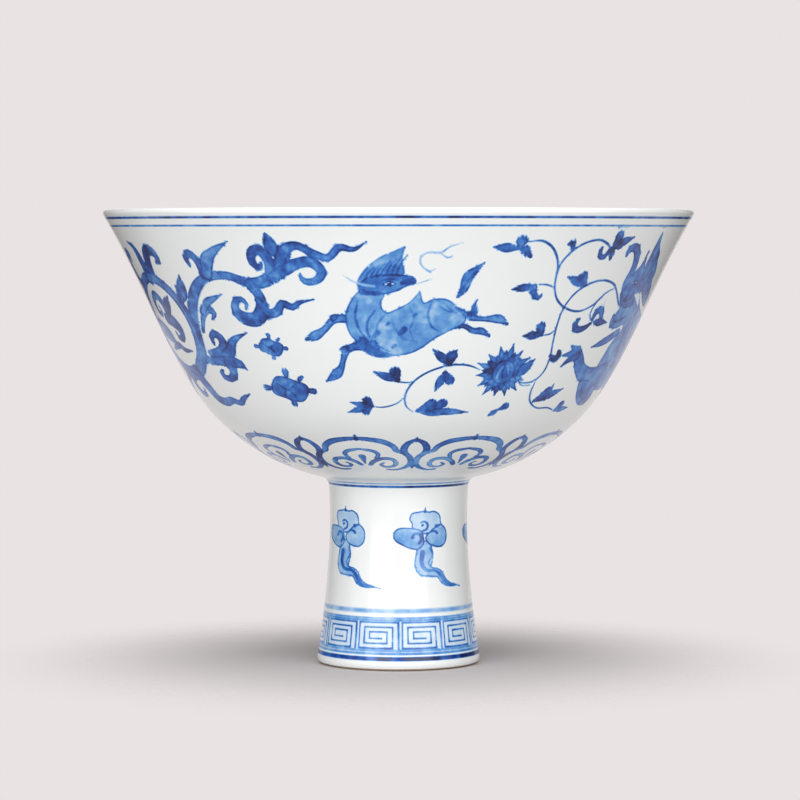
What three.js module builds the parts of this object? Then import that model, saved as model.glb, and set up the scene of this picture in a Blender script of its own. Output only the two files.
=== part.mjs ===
// Stem bowl of glazed porcelain: a deep bowl with a lip turned slightly outwards, on a tall hollow
// stem that spreads into a foot. Bowl and stem are thrown apart and luted together with wet slip.
// Three coats of glaze then cover the clay: one poured inside the bowl, one over the whole outside,
// and one in the hollow of the stem. Only the rim that the foot stands on stays bare.
// Millimetres, +Z up. The foot stands on z = 0, and every piece is round about the Z axis.

import * as THREE from "three";

// Sizes of the glazed bowl as the hand meets it
const RIM_RADIUS = 77.5; // widest point of the lip
const BOWL_HEIGHT = 70.5; // from the underside at the stem up to the crest of the lip
const BELLY_RADIUS = 45.9; // where the round bottom passes into the wall
const BELLY_RISE = 13.9; // of that point above the underside
const UNDERSIDE_SLOPE = 9; // degrees, where the bottom leaves the stem
const BELLY_SLOPE = 42; // degrees
const LIP_SLOPE = 59.5; // degrees, lower than the wall's, so that the lip turns out

// How far each stretch of the wall holds its slope before it bends
const UNDERSIDE_SWEEP = 10.7;
const BELLY_SWEEP_BELOW = 10.3;
const BELLY_SWEEP_ABOVE = 17.1;
const LIP_SWEEP = 24.6;

// Sizes of the glazed stem
const STEM_HEIGHT = 48.9; // from the ground to the underside of the bowl
const NECK_RADIUS = 18.4; // just under the bowl
const WAIST_RADIUS = 18.1; // narrowest point
const WAIST_DROP = 10.4; // of that point below the bowl
const FOOT_RADIUS = 21.5; // widest point
const FOOT_LEAN = 9.7; // degrees by which the wall spreads at the foot
const WAIST_SWEEP = 11.1;
const FOOT_SWEEP = 11.3;
const NECK_FILLET = 2.4; // height and reach of the round corner between stem and bowl

// Thickness of the clay
const LIP_PARTING = 45; // degrees, where the two coats of glaze meet on the lip
const LIP_CLAY = 1.3;
const BELLY_CLAY = 2.5;
const BASE_CLAY = 4.2;
const FLOOR_DIP = 1.4; // of the middle of the floor inside the bowl
const STEM_CLAY = 4.3; // at the neck
const FOOT_CLAY = 4.6;
const SLIP = 0.8; // the luting slip between stem and bowl
const FOOT_ROUND = 1.55; // outer corner of the foot
const FOOT_BEVEL = 1.2; // inner corner of the foot

// The glaze
const GLAZE = 0.35;
const OUTSIDE_GLAZE_END = 0.7; // height of the bare clay at the foot's outer corner
const HOLLOW_GLAZE_END = 2.2; // height of the bare clay inside the stem

// Steps round the axis and along the profiles
const ROUND_STEPS = 52;
const BOTTOM_STEPS = 5;
const WALL_STEPS = 5;
const STEM_STEPS = 4;
const FILLET_STEPS = 3;
const FLOOR_STEPS = 2;
const FOOT_STEPS = 2; // round the bare part of the foot's corner
const BORE_STEPS = 3;

const radians = THREE.MathUtils.degToRad;
const point = (radius, height) => new THREE.Vector2(radius, height);

// A step of the given length from a point of a profile, at an angle above the horizontal.
function stepFrom(start, angle, length) {
  return point(start.x + length * Math.cos(angle), start.y + length * Math.sin(angle));
}

// A profile sampled as places, each with the direction that faces out of the pot there.
function sample(curve, steps) {
  const places = [];
  for (let i = 0; i <= steps; i++) {
    const along = curve.getTangent(i / steps);
    places.push({ at: curve.getPoint(i / steps), out: point(along.y, -along.x) });
  }
  return places;
}

// The same places, moved into the pot by a depth that may differ from place to place.
function sunk(places, depthAt) {
  return places.map(({ at, out }, i) => at.clone().addScaledVector(out, -depthAt(i)));
}

// Places on a round corner, at the given angles about its centre.
function corner(centre, radius, angles) {
  return angles.map((angle) => stepFrom(centre, angle, radius));
}

// Finished outline of the bowl, from the stem out to the lip
const lipAngle = radians(LIP_SLOPE);
const lipRound = LIP_CLAY / 2 + GLAZE;
const lipCentre = point(RIM_RADIUS - lipRound, STEM_HEIGHT + BOWL_HEIGHT - lipRound);
const neck = point(NECK_RADIUS, STEM_HEIGHT);
const belly = point(BELLY_RADIUS, STEM_HEIGHT + BELLY_RISE);
const lipFoot = stepFrom(lipCentre, lipAngle - Math.PI / 2, lipRound);
const bottomCurve = new THREE.CubicBezierCurve(
  neck,
  stepFrom(neck, radians(UNDERSIDE_SLOPE), UNDERSIDE_SWEEP),
  stepFrom(belly, radians(BELLY_SLOPE), -BELLY_SWEEP_BELOW),
  belly,
);
const wallCurve = new THREE.CubicBezierCurve(
  belly,
  stepFrom(belly, radians(BELLY_SLOPE), BELLY_SWEEP_ABOVE),
  stepFrom(lipFoot, lipAngle, -LIP_SWEEP),
  lipFoot,
);
const bowlPlaces = [...sample(bottomCurve, BOTTOM_STEPS), ...sample(wallCurve, WALL_STEPS).slice(1)];

// Clay thickness at each of those places: from the base to the belly, then up to the lip
function clayAt(i) {
  if (i <= BOTTOM_STEPS) return THREE.MathUtils.lerp(BASE_CLAY, BELLY_CLAY, i / BOTTOM_STEPS);
  return THREE.MathUtils.lerp(BELLY_CLAY, LIP_CLAY, (i - BOTTOM_STEPS) / WALL_STEPS);
}

// The four skins of the wall, from the outside in. The first place lies inside the fillet.
const outerSkin = sunk(bowlPlaces, () => 0);
const outerClay = sunk(bowlPlaces, () => GLAZE);
const innerClay = sunk(bowlPlaces, (i) => GLAZE + clayAt(i));
const innerSkin = sunk(bowlPlaces, (i) => 2 * GLAZE + clayAt(i));

// The floor inside the bowl runs on from the wall to the axis
function floorFrom(edge) {
  const shares = Array.from({ length: FLOOR_STEPS }, (_, i) => i / FLOOR_STEPS);
  return shares.map((share) => point(edge.x * share, edge.y - FLOOR_DIP * (1 - share * share)));
}

// The lip's two sides: up from the wall past its widest place, and over its crest down the inside
function lipSides(radius) {
  const parting = radians(LIP_PARTING);
  return {
    outside: corner(lipCentre, radius, [lipAngle - Math.PI / 2, 0, parting]),
    inside: corner(lipCentre, radius, [parting, Math.PI / 2, lipAngle + Math.PI / 2]),
  };
}
const clayLip = lipSides(LIP_CLAY / 2);
const skinLip = lipSides(lipRound);

// Finished outline of the stem, from the neck down to the corner of the foot
const footLean = radians(FOOT_LEAN);
const footRound = FOOT_ROUND + GLAZE;
const footCentre = point(FOOT_RADIUS - footRound, FOOT_ROUND);
const filletFoot = point(NECK_RADIUS, STEM_HEIGHT - NECK_FILLET);
const waist = point(WAIST_RADIUS, STEM_HEIGHT - WAIST_DROP);
const footTop = stepFrom(footCentre, footLean, footRound);
const neckCurve = new THREE.QuadraticBezierCurve(
  filletFoot,
  point(WAIST_RADIUS, (filletFoot.y + waist.y) / 2),
  waist,
);
const stemCurve = new THREE.CubicBezierCurve(
  waist,
  point(WAIST_RADIUS, waist.y - WAIST_SWEEP),
  stepFrom(footTop, footLean + Math.PI / 2, FOOT_SWEEP),
  footTop,
);
const stemPlaces = [...sample(neckCurve, 1), ...sample(stemCurve, STEM_STEPS).slice(1)].map(
  ({ at, out }) => ({ at, out: out.negate() }),
);
const stemSkin = sunk(stemPlaces, () => 0);
const stemClay = sunk(stemPlaces, () => GLAZE);

// The glaze on the foot's corner stops where the clay has come down to OUTSIDE_GLAZE_END
const glazeStop = -Math.asin(1 - OUTSIDE_GLAZE_END / FOOT_ROUND);
const footSkin = corner(footCentre, footRound, [0, glazeStop]);
const footClay = corner(footCentre, FOOT_ROUND, [0, glazeStop]);
const bareAngles = Array.from({ length: FOOT_STEPS }, (_, i) =>
  THREE.MathUtils.lerp(glazeStop, -Math.PI / 2, (i + 1) / FOOT_STEPS),
);
const footBare = corner(footCentre, FOOT_ROUND, bareAngles);

// The flat underside that the clay bowl is trimmed to, and the top of the clay stem below the slip
const undersideHeight = outerClay[0].y;
const stemTop = undersideHeight - SLIP;

// Fillet between stem and bowl: the slip gives its shape, and the glaze runs over it
function filletUp(stemPoint, bowlPoint, beforeBowl) {
  const fall = (bowlPoint.y - beforeBowl.y) / (bowlPoint.x - beforeBowl.x);
  const turn = point(stemPoint.x, bowlPoint.y - fall * (bowlPoint.x - stemPoint.x));
  return new THREE.QuadraticBezierCurve(stemPoint, turn, bowlPoint).getPoints(FILLET_STEPS);
}
const reach = NECK_FILLET / (outerSkin[1].x - outerSkin[0].x);
const skinSeat = outerSkin[0].clone().lerp(outerSkin[1], reach);
const claySeat = outerClay[0].clone().lerp(outerClay[1], reach);
const slipFoot = point(stemClay[0].x, stemTop);
const skinFillet = filletUp(stemSkin[0], skinSeat, outerSkin[0]);
const clayFillet = filletUp(slipFoot, claySeat, outerClay[0]);

// The hollow of the stem
const boreTop = NECK_RADIUS - GLAZE - STEM_CLAY;
const boreFoot = FOOT_RADIUS - GLAZE - FOOT_CLAY;
const boreRadius = (height) => THREE.MathUtils.mapLinear(height, stemTop, 0, boreTop, boreFoot);
const boreHeights = Array.from({ length: BORE_STEPS + 1 }, (_, i) =>
  THREE.MathUtils.lerp(stemTop, HOLLOW_GLAZE_END, i / BORE_STEPS),
);
const boreClay = boreHeights.map((height) => point(boreRadius(height), height));
const boreSkin = boreClay.map((place) => point(place.x - GLAZE, place.y));
const bevelTop = point(boreRadius(FOOT_BEVEL), FOOT_BEVEL);
const bevelFoot = point(boreRadius(0) + FOOT_BEVEL, 0);

// A solid of revolution about +Z from a profile that runs anticlockwise about its own section.
function turned(name, profile, material) {
  const geometry = new THREE.LatheGeometry(profile, ROUND_STEPS);
  geometry.rotateX(Math.PI / 2);
  const mesh = new THREE.Mesh(geometry, material);
  mesh.name = name;
  return mesh;
}

// A ring's profile ends where it starts; a disc's starts and ends on the axis.
const closed = (profile) => [...profile, profile[0]];
const back = (profile) => [...profile].reverse();

const biscuit = new THREE.MeshStandardMaterial({ color: 0xf1eadf, roughness: 0.75, metalness: 0 });
const slipClay = new THREE.MeshStandardMaterial({ color: 0xebe2d4, roughness: 0.85, metalness: 0 });
const clearGlaze = new THREE.MeshStandardMaterial({ color: 0xf2f4f2, roughness: 0.1, metalness: 0 });
const paintedGlaze = new THREE.MeshStandardMaterial({ color: 0xb9c8df, roughness: 0.1, metalness: 0 });

// Clay bowl: trimmed flat where the stem sits, rounded at the lip
function clayBowl() {
  return turned(
    "bowl_body",
    [
      point(0, undersideHeight),
      outerClay[0],
      claySeat,
      ...outerClay.slice(1, -1),
      ...clayLip.outside,
      ...clayLip.inside.slice(1),
      ...back(innerClay.slice(0, -1)),
      ...back(floorFrom(innerClay[0])),
    ],
    biscuit,
  );
}

// Clay stem: an open tube with the bare foot rim at its lower end
function clayStem() {
  return turned(
    "stem_body",
    closed([
      bevelTop,
      bevelFoot,
      ...back(footBare),
      ...back(footClay),
      ...back(stemClay),
      point(stemClay[0].x, stemTop),
      ...boreClay,
    ]),
    biscuit,
  );
}

// Slip that lutes the bowl to the stem, squeezed out into a fillet
function lutingSlip() {
  return turned(
    "luting_slip",
    closed([
      point(boreTop, stemTop),
      ...clayFillet,
      outerClay[0],
      point(boreTop, undersideHeight),
    ]),
    slipClay,
  );
}

// Outside coat: from the crest of the lip down over bowl, fillet and stem to the foot's corner
function outsideGlaze() {
  const skin = [
    ...footSkin.toReversed(),
    ...back(stemSkin),
    ...skinFillet.slice(1),
    ...outerSkin.slice(1, -1),
    ...skinLip.outside,
  ];
  const clay = [
    ...footClay.toReversed(),
    ...back(stemClay),
    ...clayFillet,
    ...outerClay.slice(1, -1),
    ...clayLip.outside,
  ];
  return turned("outside_glaze", closed([...skin, ...back(clay)]), paintedGlaze);
}

// Inside coat: poured into the bowl, up to the crest of the lip
function insideGlaze() {
  const clay = [...floorFrom(innerClay[0]), ...innerClay.slice(0, -1), ...back(clayLip.inside)];
  const skin = [...floorFrom(innerSkin[0]), ...innerSkin.slice(0, -1), ...back(skinLip.inside)];
  return turned("inside_glaze", [...clay, ...back(skin)], clearGlaze);
}

// Coat in the hollow of the stem: its wall and its ceiling under the bowl
function hollowGlaze() {
  const ceiling = undersideHeight - GLAZE;
  return turned(
    "stem_hollow_glaze",
    [
      point(0, ceiling),
      point(boreSkin[0].x, ceiling),
      ...boreSkin,
      ...back(boreClay),
      point(boreTop, undersideHeight),
      point(0, undersideHeight),
    ],
    clearGlaze,
  );
}

const stemBowl = new THREE.Group();
stemBowl.name = "stem_bowl";
stemBowl.add(clayBowl(), clayStem(), lutingSlip(), outsideGlaze(), insideGlaze(), hollowGlaze());

export default stemBowl;
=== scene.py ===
"""A blue-and-white porcelain stem bowl: its glaze, its painting and its bare foot, in soft studio light."""

import math

import bmesh
import bpy
import numpy as np
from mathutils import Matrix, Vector
from mathutils.geometry import delaunay_2d_cdt


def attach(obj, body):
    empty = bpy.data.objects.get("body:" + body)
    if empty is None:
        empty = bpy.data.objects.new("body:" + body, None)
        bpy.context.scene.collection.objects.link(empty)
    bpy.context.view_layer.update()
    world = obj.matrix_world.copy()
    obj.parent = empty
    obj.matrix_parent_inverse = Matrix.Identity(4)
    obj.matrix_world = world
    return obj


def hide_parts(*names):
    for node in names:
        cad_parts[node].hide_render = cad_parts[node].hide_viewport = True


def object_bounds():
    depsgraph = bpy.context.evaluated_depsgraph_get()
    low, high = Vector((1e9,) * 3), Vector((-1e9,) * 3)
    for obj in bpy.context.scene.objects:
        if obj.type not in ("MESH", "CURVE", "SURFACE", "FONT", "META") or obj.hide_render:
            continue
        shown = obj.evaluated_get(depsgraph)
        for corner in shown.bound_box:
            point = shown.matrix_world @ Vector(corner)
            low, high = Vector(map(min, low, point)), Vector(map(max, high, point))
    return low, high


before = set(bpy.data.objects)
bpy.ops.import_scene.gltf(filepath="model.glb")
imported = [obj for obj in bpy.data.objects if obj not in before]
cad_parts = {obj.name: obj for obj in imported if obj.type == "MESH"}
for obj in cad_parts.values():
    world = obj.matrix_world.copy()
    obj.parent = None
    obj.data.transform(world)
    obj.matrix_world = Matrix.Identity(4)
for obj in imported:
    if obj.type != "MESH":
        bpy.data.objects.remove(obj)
cad_low, cad_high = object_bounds()

# Sizes in millimetres, as the potter's profile gives them
MM = 0.001
RIM_RADIUS = cad_high.x / MM
HEIGHT = cad_high.z / MM
STEM_HEIGHT = 48.9
BELLY_RADIUS, BELLY_RISE = 45.9, 13.9
UNDERSIDE_SLOPE, BELLY_SLOPE, LIP_SLOPE = 9, 42, 59.5
UNDERSIDE_SWEEP, BELLY_SWEEP_BELOW, BELLY_SWEEP_ABOVE, LIP_SWEEP = 10.7, 10.3, 17.1, 24.6
NECK_RADIUS, WAIST_RADIUS, WAIST_DROP = 18.4, 18.1, 10.4
FOOT_RADIUS, FOOT_LEAN = 21.5, 9.7
WAIST_SWEEP, FOOT_SWEEP, NECK_FILLET = 11.1, 11.3, 2.4
LIP_CLAY, BELLY_CLAY, BASE_CLAY, FLOOR_DIP = 1.3, 2.5, 4.2, 1.4
LIP_PARTING = 45
STEM_CLAY, FOOT_CLAY, SLIP = 4.3, 4.6, 0.8
FOOT_ROUND, FOOT_BEVEL = 1.55, 1.2
GLAZE = 0.35
OUTSIDE_GLAZE_END, HOLLOW_GLAZE_END = 0.7, 2.2

# How finely the round and each stretch of the profile are followed
COLUMNS, CLAY_COLUMNS = 180, 144
BOTTOM_STEPS, WALL_STEPS, STEM_STEPS, WAIST_STEPS, FILLET_STEPS = 60, 90, 60, 16, 14
LIP_STEPS, FOOT_STEPS, BARE_STEPS, FLOOR_STEPS, BORE_STEPS = 12, 10, 8, 12, 11
WALL_BACK_STRIDE, STEM_BACK_STRIDE, INSIDE_BACK_STRIDE, CLAY_STRIDE = 8, 6, 4, 2


def point(radius, height):
    """A place on the profile, by its distance from the axis and its height."""
    return np.array([radius, height], float)


def step_from(start, degrees, length):
    """A step of a given length from a point of a profile, at an angle above the horizontal."""
    angle = math.radians(degrees)
    return start + length * point(math.cos(angle), math.sin(angle))


def bezier(controls, steps):
    """A curve through its control points by repeated interpolation."""
    t = np.linspace(0, 1, steps + 1)[:, None]
    rows = [np.asarray(c)[None, :] for c in controls]
    while len(rows) > 1:
        rows = [a * (1 - t) + b * t for a, b in zip(rows, rows[1:])]
    return rows[0]


def arc(centre, radius, start, end, steps):
    """Places on a round corner between two angles in degrees."""
    return np.array([step_from(centre, a, radius) for a in np.linspace(start, end, steps + 1)])


def round_about(count):
    """Angles that go once round."""
    return np.linspace(0, 2 * math.pi, count, endpoint=False)


def unit_rows(rows):
    """Directions of length one."""
    return rows / np.maximum(np.linalg.norm(rows, axis=1), 1e-9)[:, None]


def sunk(curve, depth):
    """A curve moved to its left, which is into the pot for one that runs from foot to lip."""
    along = unit_rows(np.gradient(curve, axis=0))
    return curve + np.stack([-along[:, 1], along[:, 0]], 1) * np.reshape(depth, (-1, 1))


# The bowl's outline, from the stem out to the lip
lip_round = LIP_CLAY / 2 + GLAZE
lip_centre = point(RIM_RADIUS - lip_round, HEIGHT - lip_round)
lip_foot = step_from(lip_centre, LIP_SLOPE - 90, lip_round)
neck = point(NECK_RADIUS, STEM_HEIGHT)
belly = point(BELLY_RADIUS, STEM_HEIGHT + BELLY_RISE)
out_of_neck = step_from(neck, UNDERSIDE_SLOPE, UNDERSIDE_SWEEP)
into_belly = step_from(belly, BELLY_SLOPE, -BELLY_SWEEP_BELOW)
out_of_belly = step_from(belly, BELLY_SLOPE, BELLY_SWEEP_ABOVE)
into_lip = step_from(lip_foot, LIP_SLOPE, -LIP_SWEEP)
bottom = bezier([neck, out_of_neck, into_belly, belly], BOTTOM_STEPS)
wall = bezier([belly, out_of_belly, into_lip, lip_foot], WALL_STEPS)
bowl_curve = np.vstack([bottom, wall[1:]])
bottom_clay = np.linspace(BASE_CLAY, BELLY_CLAY, len(bottom))
wall_clay = np.linspace(BELLY_CLAY, LIP_CLAY, len(wall))
clay = np.concatenate([bottom_clay, wall_clay[1:]])

# The fillet between stem and bowl
seat_at = int(np.argmax(bottom[:, 0] >= NECK_RADIUS + NECK_FILLET))
seat = bottom[seat_at]
seat_run, seat_rise = bottom[seat_at + 1] - bottom[seat_at - 1]
turn = point(NECK_RADIUS, seat[1] - seat_rise / seat_run * NECK_FILLET)
fillet_foot = point(NECK_RADIUS, STEM_HEIGHT - NECK_FILLET)

# The stem's outline, from the glaze's end on the foot up to the fillet
foot_round = FOOT_ROUND + GLAZE
foot_centre = point(FOOT_RADIUS - foot_round, FOOT_ROUND)
foot_top = step_from(foot_centre, FOOT_LEAN, foot_round)
glaze_stop = -math.degrees(math.asin(1 - OUTSIDE_GLAZE_END / FOOT_ROUND))
waist = point(WAIST_RADIUS, STEM_HEIGHT - WAIST_DROP)
out_of_foot = step_from(foot_top, FOOT_LEAN + 90, FOOT_SWEEP)
into_waist = point(WAIST_RADIUS, waist[1] - WAIST_SWEEP)
out_of_waist = point(WAIST_RADIUS, (fillet_foot[1] + waist[1]) / 2)
below_waist = bezier([foot_top, out_of_foot, into_waist, waist], STEM_STEPS)
above_waist = bezier([waist, out_of_waist, fillet_foot], WAIST_STEPS)
stem_curve = np.vstack([below_waist, above_waist[1:]])

# The hollow of the stem
underside = STEM_HEIGHT + GLAZE * math.cos(math.radians(UNDERSIDE_SLOPE))
stem_top = underside - SLIP
bore_top = NECK_RADIUS - GLAZE - STEM_CLAY
bore_foot = FOOT_RADIUS - GLAZE - FOOT_CLAY


def bore_radius(height):
    return bore_foot + (bore_top - bore_foot) * height / stem_top


def lip_side(radius, start, end):
    return arc(lip_centre, radius, start, end, LIP_STEPS)


def stem_skin(depth):
    """From the glaze's end on the foot up to the fillet, at a depth below the glaze's surface."""
    corner = arc(foot_centre, foot_round - depth, glaze_stop, FOOT_LEAN, FOOT_STEPS)
    return np.vstack([corner, sunk(stem_curve, depth)[1:]])


def bowl_skin(depth):
    """From the fillet's foot out and up to the parting line on the lip."""
    rise = bezier([fillet_foot, turn, seat], FILLET_STEPS)
    outer = np.vstack([rise, bowl_curve[seat_at + 1 :]])
    return np.vstack([sunk(outer, depth), lip_side(lip_round - depth, LIP_SLOPE - 90, LIP_PARTING)[1:]])


def floor_to(edge):
    """The gently hollow floor inside, from the axis out to the foot of the wall."""
    share = np.linspace(0, 1, FLOOR_STEPS + 1)[:-1]
    return np.stack([edge[0] * share, edge[1] - FLOOR_DIP * (1 - share**2)], 1)


def inside_skin(depth):
    """From the middle of the floor up the wall to the parting line on the lip."""
    inner = sunk(bowl_curve, clay + GLAZE + depth)
    radius = LIP_CLAY / 2 + depth
    return np.vstack([floor_to(inner[0]), inner[:-1], lip_side(radius, LIP_SLOPE + 90, LIP_PARTING)])


# Half of the full turn that a flat sheet spans, in degrees
SEAM = 180


class Skin:
    """A surface of revolution laid flat so that small shapes keep their proportions.

    across is the angle about the axis in degrees, 0 in front and positive to the right. up runs along
    the profile on the same scale, so a unit square is a small square of clay wherever it lies.
    """

    def __init__(self, profile):
        leg = np.diff(profile, axis=0)
        middle = (profile[1:, 0] + profile[:-1, 0]) / 2
        self.profile = profile
        self.up = np.degrees(np.concatenate([[0], np.cumsum(np.hypot(*leg.T) / middle)]))
        self.slope = unit_rows(np.gradient(profile, axis=0))

    def place(self, across, up):
        """Points and normals in space for places on the flat sheet."""
        angle = np.radians(across)
        radius = np.interp(up, self.up, self.profile[:, 0])
        height = np.interp(up, self.up, self.profile[:, 1])
        out = np.interp(up, self.up, self.slope[:, 1])
        rise = -np.interp(up, self.up, self.slope[:, 0])
        points = np.stack([radius * np.sin(angle), -radius * np.cos(angle), height], 1) * MM
        return points, unit_rows(np.stack([out * np.sin(angle), -out * np.cos(angle), rise], 1))

    def at_height(self, height):
        return float(np.interp(height, self.profile[:, 1], self.up))


def smooth_path(points, spacing, closed=False):
    """A smooth line through given points, sampled evenly. Further columns, such as widths, follow."""
    p = np.array(points, float)
    if closed:
        p = np.vstack([p[-1], p, p[0], p[1]])
    else:
        p = np.vstack([2 * p[0] - p[1], p, 2 * p[-1] - p[-2]])
    rows = []
    for a, b, c, d in zip(p, p[1:], p[2:], p[3:]):
        steps = max(2, int(np.hypot(*(c - b)[:2]) / spacing) + 1)
        t = np.linspace(0, 1, steps, endpoint=False)[:, None]
        bend = (c - a) * t + (2 * a - 5 * b + 4 * c - d) * t**2 + (3 * b - a - 3 * c + d) * t**3
        rows.append(0.5 * (2 * b + bend))
    if not closed:
        rows.append(p[-2][None, :])
    return np.vstack(rows)


class Painting:
    """Strokes of cobalt on one sheet, laid one over another as a painter does.

    spacing is the distance between the places that follow a stroke, soft the reach of its soft edge
    and line the width of the darker line along it.
    """

    LEAST_HALF, PEN_TIP = 0.02, 0.35
    # In softnesses of the edge: how far its fades reach, and where white clay is certain
    FILL_FADE, RIM_FADE, WHITE = 1.8, 0.9, 2.8
    # How far past the seam a mark's copy still matters, and how many places are measured at a time
    OVERLAP, BATCH = 4, 4000

    def __init__(self, skin, spacing, soft, line):
        self.skin, self.spacing, self.soft, self.line = skin, spacing, soft, line
        self.marks = []
        self.shift, self.mirror = 0.0, 1.0

    def _placed(self, points):
        p = np.array(points, float)
        p[:, 0] = p[:, 0] * self.mirror + self.shift
        return p

    def band(self, points, wash=0.62, edge=0.9, line=None):
        """A stroke with a width of its own at each point: (across, up, half width)."""
        path = smooth_path(self._placed(points), self.spacing)
        path[:, 2] = np.maximum(path[:, 2], self.LEAST_HALF)
        self.marks.append((path, False, wash, edge, line or self.line))

    def pen(self, points, half, tone=0.9):
        """A thin line that comes to a point at both ends."""
        inner = [(*p, half) for p in points[1:-1]]
        ends = [(*p, half * self.PEN_TIP) for p in (points[0], points[-1])]
        self.band([ends[0], *inner, ends[1]], wash=tone, edge=0)

    def shape(self, outline, wash=0.5, edge=0.85, line=None):
        """A filled outline."""
        path = smooth_path(self._placed(outline), self.spacing, closed=True)
        self.marks.append((path, True, wash, edge, line or self.line))

    def raise_all(self, start):
        """Every mark moved up the sheet."""
        for path, *_ in self.marks:
            path[:, 1] += start

    def repeated(self):
        """Every mark, and its copy across the seam where it reaches past the sheet's ends."""
        reach = SEAM + self.OVERLAP
        for path, closed, wash, edge, line in self.marks:
            for turn_by in (-2 * SEAM, 0, 2 * SEAM):
                moved = path.copy()
                moved[:, 0] += turn_by
                if moved[:, 0].max() > -reach and moved[:, 0].min() < reach:
                    yield moved, closed, wash, edge, line

    def samples(self):
        """Places on the sheet where the mesh needs a corner to hold the painting's edges."""
        found = []
        for path, closed, _, edge, line in self.repeated():
            xy = path[:, :2]
            along = unit_rows(np.gradient(xy, axis=0))
            side = np.stack([-along[:, 1], along[:, 0]], 1)
            rims = [-self.soft, self.soft]
            if edge:
                rims += [-line - self.soft, -line + self.soft]
            if closed:
                found += [xy + side * r for r in rims] + [xy - side * r for r in rims[2:]]
                continue
            half = path[:, 2:3]
            found.append(xy)
            for r in [*rims, self.WHITE * self.soft]:
                reach = np.where(half + r > self.LEAST_HALF, half + r, np.nan)
                found += [xy + side * reach, xy - side * reach]
                found += [self._cap(path[end], r) for end in (0, -1) if path[end, 2] + r > self.LEAST_HALF]
        every = np.vstack(found)
        return every[~np.isnan(every[:, 0])]

    def _cap(self, end, away):
        """Places round the end of a stroke."""
        radius = end[2] + away
        count = max(6, int(2 * math.pi * radius / self.spacing))
        angles = round_about(count)
        return end[:2] + radius * np.stack([np.cos(angles), np.sin(angles)], 1)

    def tone(self, places):
        """Depth of cobalt at each place, from 0 for bare white to 1 for the darkest line."""
        depth = np.zeros(len(places))
        order = np.argsort(places[:, 0])
        across = places[order, 0]
        for path, closed, wash, edge, line in self.repeated():
            margin = 2 * self.soft + (0 if closed else path[:, 2].max())
            low, high = path[:, :2].min(0) - margin, path[:, :2].max(0) + margin
            near = order[np.searchsorted(across, low[0]) : np.searchsorted(across, high[0])]
            near = near[(places[near, 1] > low[1]) & (places[near, 1] < high[1])]
            if len(near) == 0:
                continue
            inward = self._inside(places[near], path, closed)
            fill = np.clip(0.5 + inward / (self.FILL_FADE * self.soft), 0, 1)
            mark = depth[near] * (1 - fill) + fill * wash
            if edge:
                off_line = np.maximum(np.abs(inward - line / 2) - line / 2, 0)
                rim = np.clip(1 - off_line / (self.RIM_FADE * self.soft), 0, 1)
                mark = np.maximum(mark, rim * edge)
            depth[near] = mark
        return depth

    def _inside(self, places, path, closed):
        """How far each place lies inside a mark's edge."""
        a = path if closed else path[:-1]
        b = np.roll(path, -1, 0) if closed else path[1:]
        ab = (b - a)[:, :2]
        square = np.maximum((ab**2).sum(1), 1e-12)
        best = np.full(len(places), -np.inf)
        hit = np.zeros(len(places), bool)
        for start in range(0, len(places), self.BATCH):
            now = slice(start, start + self.BATCH)
            p = places[now, None, :]
            to = p - a[None, :, :2]
            t = np.clip((to * ab).sum(2) / square, 0, 1)
            away = np.hypot(*(to - t[..., None] * ab).transpose(2, 0, 1))
            if closed:
                best[now] = -away.min(1)
                above = (a[:, 1] > p[..., 1]) != (b[:, 1] > p[..., 1])
                rise = np.where(np.abs(ab[:, 1]) < 1e-12, 1e-12, ab[:, 1])
                crossing = a[:, 0] + (p[..., 1] - a[:, 1]) * ab[:, 0] / rise
                hit[now] = (above & (p[..., 0] < crossing)).sum(1) % 2 == 1
            else:
                half = a[:, 2] + t * (b[:, 2] - a[:, 2])
                best[now] = (half - away).max(1)
        return np.where(hit, -best, best)


# Motifs of the bowl's wall, placed by the angle round the bowl and the height up its unrolled wall


def leaf(p, base, tip, half, tone=0.8):
    """A pointed leaf or petal from base to tip."""
    base, tip = np.array(base, float), np.array(tip, float)
    rows = [(*(base + (tip - base) * t), half * w) for t, w in ((0, 0.35), (0.3, 1), (0.6, 0.75), (1, 0.02))]
    p.band(rows, wash=tone, edge=0.95)


def bud(p, centre, half, tone=0.85):
    """A round dab of dark cobalt."""
    x, y = centre
    p.band([
        (x - half * 0.3, y - half * 0.2, half), (x + half * 0.3, y + half * 0.2, half * 0.9),
    ], tone, 0.95)


def sprig(p, stem, tip, curl, size=1.0):
    """The scroll's small leaf: a long point one way and a rolled lobe the other."""
    sx, sy = stem
    p.band([
        (sx, sy, 0.25 * size), ((sx + tip[0]) / 2, (sy + tip[1]) / 2, 0.95 * size), (*tip, 0.05),
    ], 0.8, 0.95)
    p.band([(sx, sy, 0.3 * size), (*curl, 1.15 * size)], 0.85, 0.98)


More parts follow.
